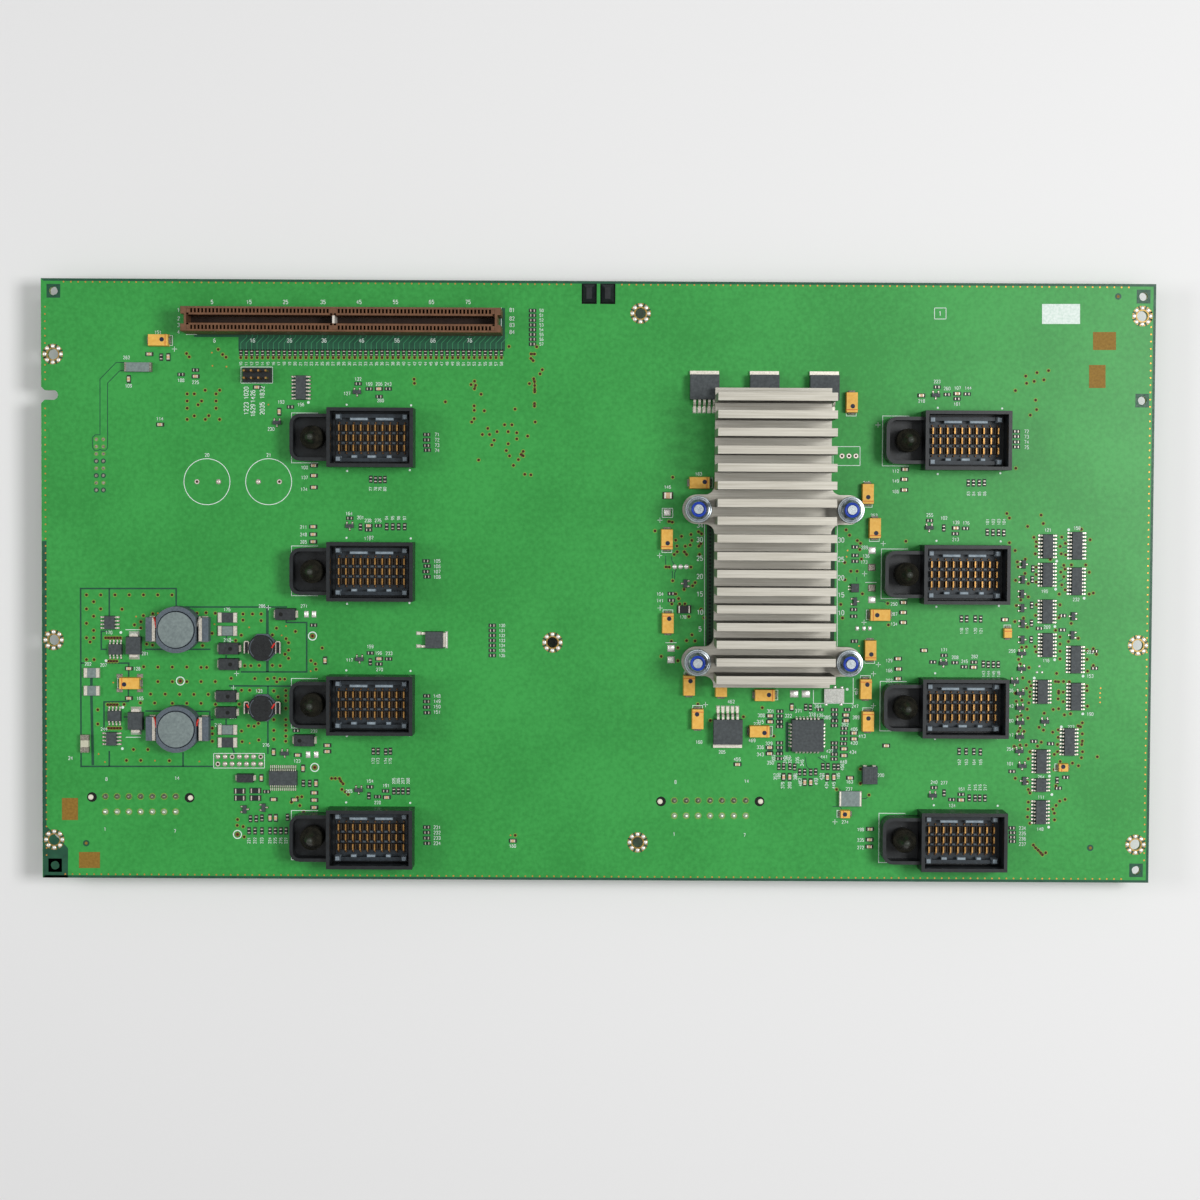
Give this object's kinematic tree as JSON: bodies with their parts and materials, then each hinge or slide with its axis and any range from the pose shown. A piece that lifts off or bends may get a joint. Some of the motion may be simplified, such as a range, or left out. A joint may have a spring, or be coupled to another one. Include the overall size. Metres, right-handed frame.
{
  "type": "switch backplane board",
  "caption": "Flat circuit board with keyed module sockets and guide posts in two columns, a card edge connector and a finned heat sink over its switch chip.",
  "frame": {"origin": "centre of the four-hole mounting rectangle, on the rear face of the board", "axes": "+X along the long edge to the right, +Y up the board towards the card edge connector, +Z out of the component side"},
  "size_m": [0.391, 0.211, 0.0442],
  "materials": {
    "board": "solder mask over glass laminate",
    "black_nylon": "glass-filled nylon, moulded",
    "grey_nylon": "glass-filled nylon, moulded",
    "gold_contact": "gold-plated",
    "turned_post": "blackened steel, turned",
    "brown_phenolic": "filled thermoset, moulded",
    "white_key": "moulded",
    "chip_package": "laminate and moulding compound",
    "thermal_pad": "filled silicone",
    "bare_aluminium": "extruded and sawn",
    "zinc_steel": "zinc-plated",
    "epoxy_black": "moulded epoxy",
    "tinned_metal": "tin-plated",
    "ferrite": "sintered ferrite",
    "ceramic_grey": "sintered ceramic",
    "ceramic_ivory": "sintered ceramic",
    "tantalum_yellow": "moulded epoxy",
    "tantalum_black": "moulded epoxy",
    "gold_lid": "plated lid",
    "ivory_nylon": "natural nylon, moulded"
  },
  "bodies": {
    "root": {"circuit_board": "board", "board_clip": "black_nylon", "guide_posts": "turned_post", "edge_connector": "brown_phenolic", "connector_key": "white_key", "switch_chip": "chip_package", "thermal_pad": "thermal_pad", "heat_sink": "bare_aluminium", "heat_sink_studs": "zinc_steel", "heat_sink_nuts": "zinc_steel", "heat_sink_springs": "zinc_steel", "regulator_bodies": "epoxy_black", "regulator_tabs": "tinned_metal", "choke_shields": "ferrite", "choke_drums": "ferrite", "choke_terminals": "ceramic_grey", "sense_resistors": "ceramic_grey", "rectifier_diodes": "epoxy_black", "diode_leads": "tinned_metal", "power_transistors": "epoxy_black", "pass_transistor": "epoxy_black", "power_controller": "epoxy_black", "line_fuse": "ceramic_ivory", "filter_chips": "ceramic_grey", "ferrite_beads": "ceramic_grey", "yellow_tantalums": "tantalum_yellow", "black_tantalums": "tantalum_black", "logic_chips": "epoxy_black", "clock_driver": "epoxy_black", "crystal_oscillator": "gold_lid", "mode_header_body": "black_nylon", "mode_header_pins": "gold_contact", "left_power_header": "ivory_nylon", "right_power_header": "ivory_nylon", "module_socket_left_1": "black_nylon", "socket_insert_left_1": "grey_nylon", "socket_contacts_left_1": "gold_contact", "module_socket_left_2": "black_nylon", "socket_insert_left_2": "grey_nylon", "socket_contacts_left_2": "gold_contact", "module_socket_left_3": "black_nylon", "socket_insert_left_3": "grey_nylon", "socket_contacts_left_3": "gold_contact", "module_socket_left_4": "black_nylon", "socket_insert_left_4": "grey_nylon", "socket_contacts_left_4": "gold_contact", "module_socket_right_1": "black_nylon", "socket_insert_right_1": "grey_nylon", "socket_contacts_right_1": "gold_contact", "module_socket_right_2": "black_nylon", "socket_insert_right_2": "grey_nylon", "socket_contacts_right_2": "gold_contact", "module_socket_right_3": "black_nylon", "socket_insert_right_3": "grey_nylon", "socket_contacts_right_3": "gold_contact", "module_socket_right_4": "black_nylon", "socket_insert_right_4": "grey_nylon", "socket_contacts_right_4": "gold_contact"}
  },
  "joints": []
}
